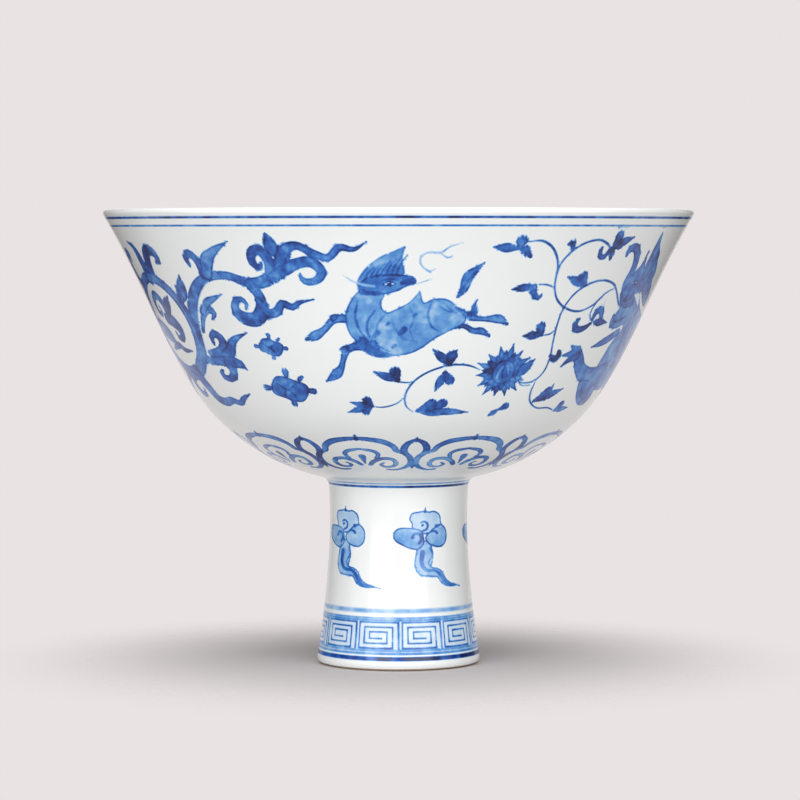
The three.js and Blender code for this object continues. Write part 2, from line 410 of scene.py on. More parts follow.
def foliate_roundel(p):
    """A ring of scrolling foliage with fronds and flames, and its branch that runs off to the right."""
    centre_x, centre_y = -68, 91
    ring = []
    for angle in np.radians(np.linspace(-60, 285.6, 25)):
        half = 1.75 - 0.45 * math.sin(angle)
        ring.append((centre_x + 12.7 * math.cos(angle), centre_y + 12.6 * math.sin(angle), half))
    # Fronds that stand on the ring
    p.band([(-67.3, 103.5, 1.7), (-67.8, 107.5, 1.6), (-68.6, 110.4, 1), (-71.4, 111.8, 0.1)], 0.75)
    p.band([
        (-65, 103.5, 1.6), (-64, 107.5, 1.6), (-62, 109.8, 1.3), (-59.3, 109.4, 1.2),
        (-58.6, 107.6, 0.9), (-60.2, 107, 0.3),
    ], 0.8)
    leaf(p, (-54.8, 98.5), (-52.6, 104.4), 1.7, 0.72)
    leaf(p, (-55.6, 97.5), (-55.9, 102), 1.1, 0.72)
    # The long branch
    p.band([
        (-56.5, 83, 1.5), (-55.4, 88, 1.7), (-53.6, 94, 1.8), (-51, 98.6, 1.6), (-47.5, 102, 1.3),
        (-43, 104, 1.05), (-38, 104.3, 0.95), (-34.5, 103.2, 1.1), (-31, 102.6, 1.3),
        (-27.5, 103.6, 1.5), (-24.6, 106.4, 1.6), (-22.4, 109.6, 1.2),
    ], 0.66)
    p.pen([
        (-54, 85), (-52.9, 91), (-50.6, 96.4), (-47, 100.6), (-42.6, 103.4), (-38, 103.7),
    ], 0.14, 0.4)
    p.band(ring, 0.7)
    p.pen([
        (-59.5, 81.6), (-56.6, 86), (-55.8, 91), (-57, 96.4), (-60.4, 100.8), (-65, 103.2),
    ], 0.14, 0.42)
    # Inner scroll of the ring
    p.band([
        (-66.5, 94.8, 0.9), (-66.8, 97.6, 1.2), (-69.2, 99.3, 1.1), (-71.9, 98.2, 1),
        (-72.6, 95.8, 0.8), (-71, 94.4, 0.7), (-69.7, 95.4, 0.5), (-70.4, 96.6, 0.2),
    ], 0.72)
    leaf(p, (-66.6, 94.8), (-61.6, 99.3), 1.7, 0.8)
    p.band([
        (-68, 93.4, 1.5), (-64.6, 92.6, 1.9), (-62.5, 90.6, 1.4), (-63.6, 88.4, 1), (-65.8, 88.6, 0.7),
        (-66, 90.2, 0.3),
    ], 0.75)
    p.band([(-77, 91, 2.6), (-73, 89.5, 2.4), (-70.5, 88.4, 1.2), (-69, 86.6, 0.2)], 0.72)
    p.band([
        (-74.6, 85, 0.2), (-71.6, 86, 0.9), (-68, 86.4, 1), (-65.4, 85.2, 0.8), (-61, 85, 0.1),
    ], 0.88)
    # Volute that hangs from the branch, with its wavy tail
    p.band([
        (-32.5, 102.4, 1.3), (-30.9, 99.6, 1.3), (-31, 96.4, 1.7), (-33.2, 94, 1.8), (-36.6, 94.2, 1.7),
        (-38.3, 96, 1.3), (-37.6, 98.2, 0.9), (-35.9, 98.8, 0.7), (-34.8, 97.7, 0.5),
        (-35.3, 96.5, 0.35),
    ], 0.7)
    p.band([
        (-31.4, 98.6, 0.9), (-29.6, 95.6, 1.1), (-27.4, 95.9, 1.1), (-25.6, 97.9, 0.9),
        (-23.4, 97, 0.8), (-21.4, 98.2, 0.5), (-18, 98.9, 0.06),
    ], 0.68)
    # Head of the branch: a curl, a bud, a long flame and a hooked frond
    p.band([
        (-26.8, 104.4, 1.2), (-26.6, 107.6, 1.2), (-28, 110, 1.2), (-30, 109.4, 1.1),
        (-30.4, 107.2, 0.9), (-29, 106.1, 0.6), (-28.4, 107.2, 0.35),
    ], 0.8)
    leaf(p, (-25, 109), (-25.9, 113.8), 1.5, 0.75)
    p.band([
        (-24.6, 105.6, 1.1), (-23, 109.6, 1.3), (-20, 111, 0.9), (-16.6, 109.2, 0.9),
        (-13.8, 108.4, 0.8), (-11.4, 110.6, 0.8), (-8.6, 110.2, 0.5), (-6, 111.9, 0.06),
    ], 0.68)
    p.band([
        (-26.6, 103.8, 1.3), (-23.4, 105.6, 1.3), (-20.6, 107, 1.2), (-17.6, 107.4, 1.2),
        (-15.6, 105.4, 1.1), (-16.6, 103.5, 0.9), (-18.8, 102.9, 0.8), (-20, 103.6, 0.6),
        (-20.2, 104.8, 0.25),
    ], 0.72)
    # Frond over the branch
    p.band([
        (-44.6, 104.4, 0.9), (-44.8, 107.4, 1), (-46.4, 109.2, 1), (-48, 108.4, 0.9),
        (-47.6, 106.4, 0.4),
    ], 0.82)
    p.band([
        (-43.4, 104.6, 1.5), (-42, 107.6, 1.7), (-40.4, 109, 1.2), (-38.4, 110.2, 0.8),
        (-34.8, 111.9, 0.05),
    ])
    # Fronds that turn off the ring to the right
    p.band([
        (-52, 90.5, 0.5), (-49.6, 94.4, 0.8), (-47, 96.2, 1), (-45.4, 95.2, 0.8), (-46.8, 93.7, 0.3),
    ], 0.6)
    p.band([(-49.4, 95.4, 0.9), (-46.6, 97.8, 1), (-44, 98.8, 0.7), (-40.8, 99.9, 0.06)], 0.62)
    p.band([
        (-52.6, 84.6, 1), (-47.6, 85.4, 1.5), (-46, 88.2, 1.3), (-47.8, 90, 1), (-49.7, 89, 0.8),
        (-49.6, 87.2, 0.4),
    ], 0.68)
    p.band([
        (-47.6, 84.2, 1.1), (-44.6, 85.4, 1.6), (-43, 87.6, 1.2), (-41, 89, 0.8), (-37, 90.5, 0.06),
    ], 0.66)
    p.band([
        (-54, 82.6, 1.3), (-49.6, 82.6, 1.3), (-45.8, 82.4, 1.6), (-42.8, 82, 1.2), (-41, 80.2, 0.1),
    ], 0.72)
    p.band([
        (-47.4, 82, 1.3), (-46.4, 79.4, 1.4), (-48.4, 77.6, 1.1), (-50.8, 77.8, 0.9),
        (-51.5, 79.3, 0.7), (-50.3, 80, 0.3),
    ], 0.72)
    # Foot of the ring
    p.band([
        (-64.5, 77.5, 2.4), (-62.6, 74, 2.1), (-60.6, 70.6, 1.8), (-57, 69.6, 1.5), (-53.4, 70.4, 1.2),
        (-50, 69.6, 1), (-47.2, 71.4, 0.8), (-43.8, 72.9, 0.06),
    ], 0.76)
    p.band([
        (-69, 78, 1.2), (-71.8, 75.6, 1.3), (-70.6, 72.4, 1.2), (-67.6, 71.8, 0.9), (-67, 73.8, 0.3),
    ], 0.74)
    p.band([(-74, 78.6, 1.4), (-78, 75, 1.3), (-80.5, 71.6, 0.9), (-84, 71, 0.1)], 0.72)
    # What the photograph's edge hides: the ring's outer fronds
    p.band([
        (-76.5, 101, 1.5), (-79, 105, 1.6), (-78, 108.6, 1.3), (-75.6, 109.2, 0.9), (-75.8, 107.2, 0.3),
    ], 0.76)
    p.band([(-80.6, 93, 1.4), (-84.4, 95.6, 1.4), (-87, 94.4, 1), (-86.4, 92, 0.4)], 0.7)
    p.band([(-80.8, 89, 1.3), (-84.6, 86.4, 1.3), (-88.4, 87, 0.8), (-92, 85.4, 0.06)], 0.7)


def turtle(p, x, y, size):
    """A small turtle: a shell with plates, four feet, a head and a tail."""
    limbs = ((-5.6, 0.3, 0.75), (5.3, -0.3, 0.75), (0.2, 4.1, 0.8), (0, -3.6, 0.8), (3.6, 3, 0.4))
    for dx, dy, half in limbs:
        dx, dy = dx * size, dy * size
        p.band([(x + dx * 0.8, y + dy * 0.8, 0.5 * size), (x + dx, y + dy, half * size)], 0.7)
    shell = [(4.4 * math.cos(a), 2.9 * math.sin(a) + 0.5 * math.cos(3 * a)) for a in round_about(12)]
    p.shape([(x + dx * size, y + dy * size) for dx, dy in shell], 0.7, 0.95)
    p.pen([
        (x - 2.6 * size, y + 1.4 * size), (x - 0.6 * size, y), (x + 1.8 * size, y + 1.3 * size),
    ], 0.3, 0.98)
    p.pen([
        (x - 1.6 * size, y - 1.6 * size), (x - 0.6 * size, y), (x + 0.8 * size, y - 1.6 * size),
    ], 0.3, 0.98)


def leaping_beast(p):
    """A horned beast that leaps to the left and looks back over its shoulder."""
    # Far legs and tail first
    p.band([
        (-11, 94.4, 1.1), (-14.3, 94, 0.9), (-16.8, 91.6, 0.8), (-19.4, 89.9, 1.2), (-21.9, 88.9, 0.08),
    ], 0.58)
    bud(p, (-14.2, 94.6), 0.8, 0.7)
    p.band([
        (12.6, 96, 1.2), (16, 94.6, 0.8), (19.3, 94.2, 0.6), (22.6, 94.2, 1.1), (25.2, 92.7, 0.08),
    ], 0.56)
    p.band([
        (12, 92.6, 0.9), (14.8, 92.5, 0.6), (17, 91.3, 0.7), (19, 91.2, 0.9), (21.3, 89.7, 0.08),
    ], 0.62)
    p.band([
        (12.4, 99.4, 0.2), (13.6, 101.2, 0.9), (14.3, 104.2, 1.2), (15.9, 106, 0.6),
        (17.3, 107.4, 0.05),
    ], 0.66)
    p.pen([(13, 100.4), (14.2, 103), (16.2, 106.4)], 0.16, 0.9)
    p.band([(15.4, 95.2, 0.3), (16.6, 96, 0.9), (16.4, 97.6, 0.4), (17, 99, 0.05)], 0.9)
    # Body, with the tuft that ends its back
    p.shape([
        (-8, 101.1), (-10, 98.9), (-11.5, 95.7), (-11.6, 92.4), (-10.6, 89.7), (-8.8, 88), (-6.6, 85.8),
        (-3.6, 84.8), (-0.4, 84.9), (2.8, 85.5), (5.4, 86.9), (8.3, 89.3), (10.2, 90.5), (12.8, 92),
        (14.6, 93), (14.9, 94.8), (13.2, 96.6), (11.3, 98.5), (9.4, 99.2), (7.2, 99), (5.4, 98.2),
        (4.9, 99.6), (4.5, 101), (3.7, 100), (2, 98.1), (-0.7, 96.6), (-2.5, 95.9), (-3.5, 97),
        (-3.5, 98.6), (-2.9, 99.8), (-3.4, 100.8), (-5.6, 101.6),
    ], 0.44, 0.72)
    # Near foreleg
    p.band([
        (-6, 87.2, 1.7), (-9.4, 87.4, 1.1), (-12, 86.4, 0.95), (-13.3, 83.6, 0.7), (-14, 81.6, 0.85),
        (-15.6, 79.6, 1.35), (-18.6, 77.4, 0.06),
    ], 0.66)
    bud(p, (-12.6, 86.6), 0.9, 0.8)
    p.band([(-8.2, 89, 0.9), (-6.4, 86.2, 1.2), (-3.6, 85.2, 0.9), (-1, 85, 0.2)], 0.78, 0)
    # Folds and shading of the coat
    p.pen([(-8.6, 98.6), (-9.4, 95), (-8.6, 91.4), (-6, 87.8)], 0.3, 0.7)
    p.pen([(-5, 96.4), (-6.8, 93.6), (-6.8, 90.6), (-5, 87.8), (-2, 86)], 0.28, 0.72)
    p.pen([(-2.6, 95.6), (-4.6, 93), (-5, 90)], 0.3, 0.62)
    p.pen([(7.2, 98.6), (6.4, 95.4), (7.4, 92.4), (9.6, 91)], 0.26, 0.7)
    p.pen([(8.4, 97.6), (10.6, 96.2), (12.8, 95.8)], 0.2, 0.62)
    p.pen([(9.6, 98.4), (11.2, 96.6), (13.4, 95)], 0.14, 0.62)
    p.pen([(2.2, 97.4), (3.4, 94.6), (2.6, 91.6), (3.6, 88.8)], 0.22, 0.56)
    p.pen([(-1.4, 93.6), (-0.4, 91.2), (1.4, 89.2), (4.4, 88.6)], 0.3, 0.54)
    for x, y, size in ((-5, 90.4, 0.9), (0.9, 91.2, 1), (-2.4, 93, 0.5), (-1, 87.4, 0.6), (3.6, 95.2, 0.5)):
        p.band([
            (x - size * 0.6, y - size * 0.5, size * 0.6), (x + size * 0.4, y + size * 0.5, size * 0.75),
        ], 0.7, 0)
    # Mane
    p.shape([
        (-8, 101.2), (-8.5, 102.9), (-7.4, 105), (-5.6, 107), (-3.2, 108.8), (-0.8, 109.9),
        (1.4, 110.9), (0.8, 108.8), (0.9, 106.8), (1.3, 105), (-0.4, 104), (-3, 104.2), (-6, 103.2),
    ], 0.52, 0.66)
    for i in range(7):
        x = -7.2 + i * 1.1
        p.pen([
            (x, 102.6 + 0.25 * i), (x + 0.9, 104.6 + 0.35 * i), (x + 2.4, 106.4 + 0.45 * i),
        ], 0.17, 0.8)
    # Head, muzzle, eye, horn and whiskers
    p.shape([
        (-8.2, 100.4), (-8, 102.6), (-6.4, 104), (-4, 104.6), (-1, 104.7), (1.4, 104.6), (3, 104.2),
        (3.7, 103.3), (3.3, 102.5), (1.8, 102), (0, 101), (-2.6, 100.2), (-5.4, 100.6), (-6.8, 99.9),
    ], 0.6, 0.85)
    p.band([(0.8, 102.7, 0.5), (2.2, 103, 0.8), (3.2, 103.3, 0.5)], 0.88, 0)
    p.band([(-7.2, 100.8, 0.5), (-5, 100.2, 0.4), (-2.8, 100.3, 0.15)], 0.8, 0)
    p.band([(-3.1, 102.4, 0.12), (-1.8, 102.6, 0.62), (-0.6, 102.5, 0.12)], 0.12, 0.9, 0.16)
    bud(p, (-1.8, 102.5), 0.3, 0.9)
    p.pen([(-3.6, 103.3), (-1.8, 103.7), (0, 103.4)], 0.16, 0.8)
    p.band([(-11.2, 104.5, 0.05), (-9.4, 103.2, 0.2), (-7.4, 102.4, 0.28), (-5, 102, 0.3)], 0.3, 0)
    p.pen([(3.6, 102.6), (5, 103), (6.8, 103.7)], 0.12, 0.4)
    # Breath
    p.band([
        (6.4, 105.2, 0.25), (4.8, 106.4, 0.2), (4.3, 108.2, 0.17), (5.6, 109.5, 0.2),
        (8.2, 109.5, 0.25), (10, 110.8, 0.14), (12.4, 111.6, 0.04),
    ], 0.42, 0)
    p.pen([(8, 109.5), (9.6, 108.4), (10.6, 108.8)], 0.2, 0.4)
    p.pen([(6.2, 105.3), (7.4, 105.9)], 0.2, 0.4)


def lotus_flower(p, x, y):
    """A flower seen from the front: two rows of pointed petals round a dark heart."""
    petals = 14
    for row, (reach, half, tone) in enumerate(((7.6, 0.95, 0.68), (5.9, 0.9, 0.78))):
        for i in range(petals):
            angle = math.radians(360 * (i + row / 2) / petals + 6)
            stretch = reach * (1 + 0.06 * math.sin(5 * angle))
            way_x, way_y = math.cos(angle), math.sin(angle)
            base, tip = (x + 2.6 * way_x, y + 2.6 * way_y), (x + stretch * way_x, y + stretch * way_y)
            leaf(p, base, tip, half, tone)
    heart = [(x + 3.3 * math.cos(a), y + 3.6 * math.sin(a)) for a in round_about(9)]
    p.shape(heart, 0.74, 0.98, 0.5)
    p.band([
        (x - 1.5, y - 1.6, 0.3), (x - 0.9, y + 1, 0.35), (x + 0.6, y + 1.9, 0.3),
        (x + 1.5, y - 0.4, 0.25),
    ], 0.5, 0)
    p.pen([(x, y + 2.8), (x - 0.2, y), (x + 0.3, y - 2.6)], 0.2, 0.95)


def lotus_scroll(p):
    """Thin stems that curl among leaves, with one flower."""
    stem = 0.24
    p.pen([
        (20.4, 80.9), (17, 82.2), (12.4, 82.2), (7.4, 80.4), (3.9, 77.6), (1.9, 73.8), (2, 70),
        (4, 67.6),
    ], stem)
    p.pen([(3.8, 77.5), (1.6, 77.3), (-0.4, 77.8)], 0.2)
    p.pen([(1.9, 73), (-0.6, 70.6), (-4, 69.4), (-7.4, 69.6)], 0.2)
    p.pen([
        (31.6, 77.6), (34, 76.7), (37, 77.2), (39.2, 79.6), (39.7, 83.4), (39, 88), (38.5, 93),
        (39, 97), (41, 100.3), (44.4, 102.4), (48.4, 103.1), (52.4, 102.2), (54.8, 100.4), (57.6, 97.6),
        (60.6, 96),
    ], stem)
    p.pen([(31, 78.6), (33.6, 76), (36.4, 76)], 0.18)
    p.pen([
        (25.4, 111.8), (28.6, 112), (31.6, 110.3), (33.8, 106.8), (34.6, 101.8), (36.6, 98.4),
        (40, 96.4), (44, 95.8), (47.8, 97.2), (50.8, 100), (53.6, 101.2),
    ], stem)
    p.pen([
        (34.4, 103), (34.4, 106.6), (36, 109.4), (38.9, 111.5), (42.4, 112.2), (45.4, 111.2),
        (47, 109.8),
    ], stem)
    p.pen([(34.8, 101.4), (32.6, 102.2), (30.4, 102.3)], 0.2)
    p.pen([(49.4, 98.6), (48.1, 96.2), (48.6, 94), (50.6, 93)], 0.2)
    p.pen([(37.8, 77.6), (37.6, 73.6), (39, 70.4), (42.6, 68.2), (47.4, 68), (51.4, 66.6)], stem)
    p.pen([(38.7, 91.4), (37.2, 90.2), (35, 89.9)], 0.2)
    lotus_flower(p, 27, 80)
    leaf(p, (31.4, 79.2), (35.2, 83.7), 1.5, 0.75)
    sprig(p, (24, 110.4), (18.4, 110.7), (24.2, 111.9), 1.1)
    sprig(p, (24.6, 110.4), (27.2, 108.4), (25, 110.2), 0.9)
    sprig(p, (29.6, 101.9), (24.2, 101.2), (29.2, 101.4), 1)
    p.band([(29.6, 102, 0.5), (29.9, 100, 0.7), (31.3, 99.1, 0.55), (31.8, 100, 0.25)], 0.8)
    sprig(p, (35, 90), (29.6, 89.8), (34, 92), 1.15)
    p.band([(36.2, 109.8, 0.3), (36, 111.4, 0.7), (34.9, 111.3, 0.4)], 0.88)
    sprig(p, (43.2, 101.9), (37.2, 104), (41.6, 103.9), 1.15)
    sprig(p, (47.2, 110.8), (53, 112.8), (47.9, 113), 1.05)
    sprig(p, (47.4, 110.6), (47.8, 107.6), (49, 111), 0.9)
    p.band([(46.6, 110.4, 0.35), (45.6, 108.4, 0.6), (44.1, 108.8, 0.6), (44, 110.4, 0.45)], 0.75)
    p.band([
        (49.6, 92.6, 0.4), (47.6, 91.4, 0.8), (45.2, 91.2, 0.9), (44, 92.6, 0.8), (45, 93.8, 0.4),
    ], 0.75)
    p.band([(49.6, 93.6, 0.4), (50.2, 95.6, 0.9), (51.8, 96, 0.9), (52.6, 94.4, 0.7)], 0.7)
    leaf(p, (50.6, 93), (56.2, 92.7), 1.05, 0.82)
    p.band([(39.6, 84.4, 0.5), (41.2, 83.4, 1), (42.4, 84.4, 0.9), (41.8, 85.6, 0.5)], 0.9)
    sprig(p, (40, 70.6), (49.8, 74.4), (43.8, 73.4), 1.5)
    leaf(p, (43.4, 71), (45, 76.2), 1.1, 0.95)
    sprig(p, (12.5, 82.3), (8, 86.7), (12.8, 84.8), 1.2)
    leaf(p, (12, 83.4), (13.9, 86.5), 1, 0.85)
    sprig(p, (0, 77.7), (-6.2, 80.5), (-0.8, 80.4), 1.25)
    sprig(p, (11.6, 80.4), (9.4, 74.5), (13, 77.9), 1.15)
    sprig(p, (5, 68), (13.4, 66.6), (9, 70.6), 1.3)
    sprig(p, (8, 68), (20, 67.4), (12, 70.6), 1.3)
    sprig(p, (29, 68), (26.4, 65.8), (31, 69.2), 1.1)
    sprig(p, (-7, 69.6), (-14.4, 67.4), (-8.4, 71.6), 1.15)
    sprig(p, (-7.4, 69.4), (-13.2, 71), (-9, 67.6), 0.95)
    sprig(p, (51, 66.8), (57.6, 67.6), (52.8, 69), 1.1)


def winged_beast(p):
    """A winged beast with a curled trunk, reaching to the left with one paw."""
    # Wing
    p.shape([
        (63.2, 101.6), (63.1, 107), (63.6, 114), (65.6, 111), (68, 109.2), (69, 107.6), (71.6, 105),
        (72.6, 102.6), (75.4, 99.6), (76.6, 96.4), (72, 97.6), (67.6, 100.2),
    ], 0.7, 0.92)
    for i in range(5):
        x = 64.4 + 1.9 * i
        p.pen([(x, 102.2 - i), (x + 0.2, 105.8 - 1.4 * i), (x + 0.1, 109.6 - 2.1 * i)], 0.22, 0.95)
    # Body and haunch
    p.shape([
        (64, 101), (68, 99), (72, 96.4), (77, 94.6), (82, 93.4), (86.6, 89.6), (88.6, 84), (87.4, 78.6),
        (83, 75), (77, 73.4), (70, 73), (65, 73.9), (62, 76.6), (61.2, 80), (62, 84.6), (64, 88.6),
        (66, 91), (63.4, 93.6), (60.2, 92.4), (58.6, 93.8), (59.4, 96.4),
    ], 0.6, 0.85)
    p.pen([(64.4, 88.8), (62.9, 84), (63.4, 79), (66.4, 75), (71, 73.8)], 0.3, 0.9)
    p.pen([(70, 96.6), (68.6, 91), (70, 85), (74, 80), (80, 77)], 0.35, 0.82)
    p.pen([(76, 94), (75, 89), (77.4, 84), (83, 81)], 0.3, 0.8)
    for x, y in ((71, 90), (74.4, 86.4), (79, 88.4), (82.4, 84.6), (72.6, 80.4), (78, 80.8)):
        p.band([(x - 0.8, y - 0.4, 0.5), (x + 0.6, y + 0.6, 0.7)], 0.85, 0)
    # Tail that flames upwards behind
    p.band([
        (87, 88, 1.4), (91, 91, 1.6), (91.6, 95.6, 1.5), (88.6, 98.6, 1.2), (90.4, 102.4, 0.9),
        (94, 105.4, 0.05),
    ])
    p.band([(91, 91, 1.1), (95, 92.6, 1.1), (97, 96, 0.8), (95.8, 99, 0.05)], 0.68)
    # Reaching arm with its paw, and the hind foot
    p.band([
        (66, 78.4, 3.2), (61, 77.6, 3), (56.4, 78.4, 2.4), (52.8, 80.4, 1.9), (50.4, 83.2, 1.7),
        (48.4, 85.6, 1.3),
    ], 0.64)
    for x, y in ((45.6, 86.9), (43.8, 84.3), (44.6, 81.2)):
        p.band([(49.6, 84, 1.1), ((49.6 + x) / 2 - 0.3, (84 + y) / 2 + 0.5, 0.9), (x, y, 0.25)], 0.78)
    p.shape([
        (56, 76.6), (57.4, 72.6), (60.4, 69.6), (64.4, 68), (68, 68.4), (69.4, 71), (67, 74.4),
        (62, 76.2),
    ], 0.64, 0.85)
    p.pen([(58, 75.4), (60.6, 71.8), (64.4, 70)], 0.3, 0.85)
    p.band([(80, 75, 2), (83, 71.4, 1.7), (86.6, 69.6, 1.3), (90, 70.4, 0.3)], 0.66)
    # Jaws, head, ear and eye
    p.band([(64.6, 93, 1.2), (61, 92, 1), (58.4, 92.4, 0.8), (57.9, 94.4, 0.5)], 0.6)
    p.band([(64, 90, 1), (60.4, 88.4, 1.2), (57, 87.2, 0.9), (53.6, 86.3, 0.06)], 0.72)
    p.shape([
        (56.8, 101), (58.6, 104.4), (60.6, 106.4), (61.2, 110), (62.3, 107.2), (63.9, 104.6),
        (66, 102.4), (67.4, 99.4), (65.4, 97), (62.4, 96.2), (59.6, 96.8), (57.4, 98.6),
    ], 0.7, 0.92)
    p.band([(64.4, 99.4, 0.2), (67, 98.8, 0.8), (70, 96.6, 0.1)], 0.06, 0)
    p.band([(60.6, 102.3, 0.5), (62, 102.4, 0.55)], 0.1, 0.95, 0.3)
    bud(p, (61.3, 102.4), 0.32, 0.98)
    p.pen([(58, 99), (60.4, 97.9), (63.4, 98.6)], 0.25, 0.95)
    # Trunk
    p.band([
        (59.6, 99.8, 1.6), (57.6, 102.2, 1.5), (57.9, 105.4, 1.2), (57.2, 108.3, 1.1), (55.4, 110.3, 1),
        (53.3, 110.3, 0.9), (52.9, 108.8, 0.5),
    ], 0.72)


def lappet_band(p, count=9, first=-14):
    """Cloud-shaped lappets round the bottom, linked by small pointed arches."""
    for i in range(count):
        p.shift = first + 360 * i / count
        for p.mirror in (1, -1):
            p.band([
                (0, 56.2, 0.75), (4, 55.6, 1.1), (8.6, 54.4, 1.3), (12, 51.8, 1.2), (13.4, 48.8, 1.1),
                (16.6, 47, 1.1), (18.6, 43, 1.2), (18.7, 38.6, 1.2), (16.6, 34.4, 1.1), (12.8, 32, 0.9),
                (9, 32.4, 0.7),
            ], 0.62, 0.92)
            p.band([
                (5.4, 43.4, 0.7), (6.4, 46.4, 0.9), (4.6, 48.6, 0.9), (2, 49.4, 0.8), (0, 50, 0.5),
            ], 0.55)
            p.band([
                (2, 37.4, 1), (4, 40.6, 1.2), (7.6, 43, 1.2), (11.6, 42.4, 1.1), (13, 39, 1.1),
                (11.4, 35.8, 1), (8, 35.4, 0.9), (6.6, 37.8, 0.7), (8.2, 39.4, 0.4),
            ], 0.6)
        p.mirror = 1
        p.band([(0, 55.6, 0.8), (0, 58, 0.1)], 0.9)
        p.band([(0, 44.6, 1.5), (0, 41.6, 0.9), (0, 38.4, 0.1)], 0.75)
        p.shift += 180 / count
        for p.mirror in (1, -1):
            p.band([
                (0, 55.6, 0.7), (2.6, 53.6, 1.1), (4, 50.4, 1.3), (3.6, 47.4, 1.2), (1.6, 44, 1.2),
                (0.4, 38, 1), (0, 33.6, 0.2),
            ], 0.78, 0.98)
        p.mirror = 1
        p.band([(0, 54.8, 0.7), (0, 56.8, 0.1)], 0.95)
    p.shift = 0


def cloud(p):
    """A cloud with a three-lobed head and a tail that drifts off to the right."""
    p.band([
        (22, 88, 6), (21.6, 80, 8), (20, 72, 6.6), (26, 68.6, 4.2), (34, 67, 3.6), (39, 60.6, 3),
        (45, 57.6, 1.8), (51, 56.8, 0.9), (58, 55.4, 0.1),
    ], 0.32, 0.66)
    p.band([
        (20, 84, 2.2), (19, 76, 1.8), (22.6, 70, 1.5), (31, 69, 1.1), (36, 65, 1.6), (40, 59.4, 1.6),
        (46, 57, 0.7), (52, 56.6, 0.2),
    ], 0.66, 0)
    p.pen([(26, 88), (28.6, 82), (25, 76), (27, 72)], 0.5, 0.6)
    p.shape([
        (36, 104), (37.4, 110), (36, 115), (31, 118), (26, 117.6), (22, 118.4), (17, 117.8),
        (11.4, 116.6), (8.8, 112), (11, 107.6), (12, 103.6), (22, 99),
    ], 0.24, 0.82)
    p.shape([
        (14, 104), (8, 104.6), (2, 104.6), (-2.6, 102.6), (-4.4, 98), (-2.6, 93.6), (2.6, 90.4),
        (9, 87.4), (15.6, 86.6), (20.6, 90), (21.6, 96), (19, 102),
    ], 0.4, 0.84)
    p.shape([
        (24, 99), (22.6, 95), (25.6, 91), (31, 88.6), (37.4, 88.2), (42, 91.4), (43.6, 97), (42.4, 103),
        (37.6, 107), (32.6, 105.6),
    ], 0.36, 0.86)
    p.band([(33.6, 99.6, 1.2), (31, 101.4, 0.8), (26.6, 100.4, 0.7), (23.4, 97.4, 0.6)], 0.84, 0)
    p.band([
        (11.6, 96.6, 1.4), (13.4, 99.6, 1.1), (17.6, 99, 1.3), (19.4, 95.4, 1.5), (17, 91.6, 1),
    ], 0.8, 0)
    p.band([
        (18.6, 108.4, 0.7), (21.4, 109.6, 0.8), (24.6, 107.4, 0.9), (24, 103.4, 0.9),
        (20.4, 101.8, 0.7),
    ], 0.8, 0)
    bud(p, (20.2, 106.4), 0.9, 0.86)
    p.band([(33, 105.4, 1.5), (36.6, 106.4, 0.7)], 0.88, 0)
    p.band([(22.4, 117.6, 1.1), (22.6, 121, 0.2)], 0.95, 0)


def key_fret(p, count=11, first=1):
    """A band of squared spirals, each drawn with one line that turns inwards."""
    width = 360 / count
    low, high = 10.9, 29.7
    step_in, step_up, laps = 4.1, 3.5, 3
    for i in range(count):
        left, right = first + width * i + 1.9, first + width * (i + 1) - 1.2
        turns = [(right + 0.2, low - 0.4)]
        for lap in range(laps):
            inner_left, inner_right = left + step_in * lap, right - step_in * lap
            inner_low, inner_high = low + step_up * lap, high - step_up * lap
            turns += [(inner_right, inner_high), (inner_left, inner_high), (inner_left, inner_low)]
            turns.append((inner_right - step_in, inner_low))
        for a, b in zip(turns, turns[1:]):
            p.band([(*a, 0.62), ((a[0] + b[0]) / 2, (a[1] + b[1]) / 2, 0.5), (*b, 0.66)], 0.74, 0)
        bar = right + 0.6
        p.band([(bar, high + 0.6, 0.4), (bar, low - 0.6, 0.6)], 0.62, 0)


def ring_tones(rings, places):
    """Depth of cobalt of the painted rings, each given by its height, half width, softness and tone."""
    depth = np.zeros(len(places))
    for centre, half, soft, tone in rings:
        depth = np.maximum(depth, tone * np.clip(1 - (np.abs(places[:, 1] - centre) - half) / soft, 0, 1))
    return depth


def rows_for(plain_rows, rings):
    """Heights at which a sheet gets rows of corners: the plain ones and both edges of each ring."""
    edges = [u + side * (half + k * soft) for u, half, soft, _ in rings for side in (-1, 1) for k in (0, 1)]
    return np.unique(np.round(np.concatenate([plain_rows, edges]), 3))


# Meshes

# How far free corners keep from the seam, the rims and the rims' rows, and how closely they may lie
SEAM_CLEAR, RIM_CLEAR, ROW_CLEAR = 0.3, 0.15, 0.05
THINNING, SEAM_SPACING = 0.7, 1.2
# How near to the seam a corner is on it, and how much more a rim's corner is sought by row than by angle
ON_SEAM, ROW_FIRST = 0.01, 1000
# Corners nearer than this are one, and faces that meet more sharply keep their edge
SAME_PLACE, CREASE_DEGREES = 1e-7, 40
STRIPS = 3
# Room in the sheet's map: beside each strip, above it, over all of them, and the clay side's corner
STRIP_SIDE, STRIP_END, MAP_TOP = 0.02, 0.01, 0.15
CLAY_CORNER = np.array([(0.4, 0.97), (0.41, 0.97), (0.41, 0.98), (0.4, 0.98)])


def thinned(places, cell):
    """The places with those that crowd one another left out."""
    keys = np.floor(places / cell).astype(np.int64)
    _, first = np.unique(keys, axis=0, return_index=True)
    return places[np.sort(first)]


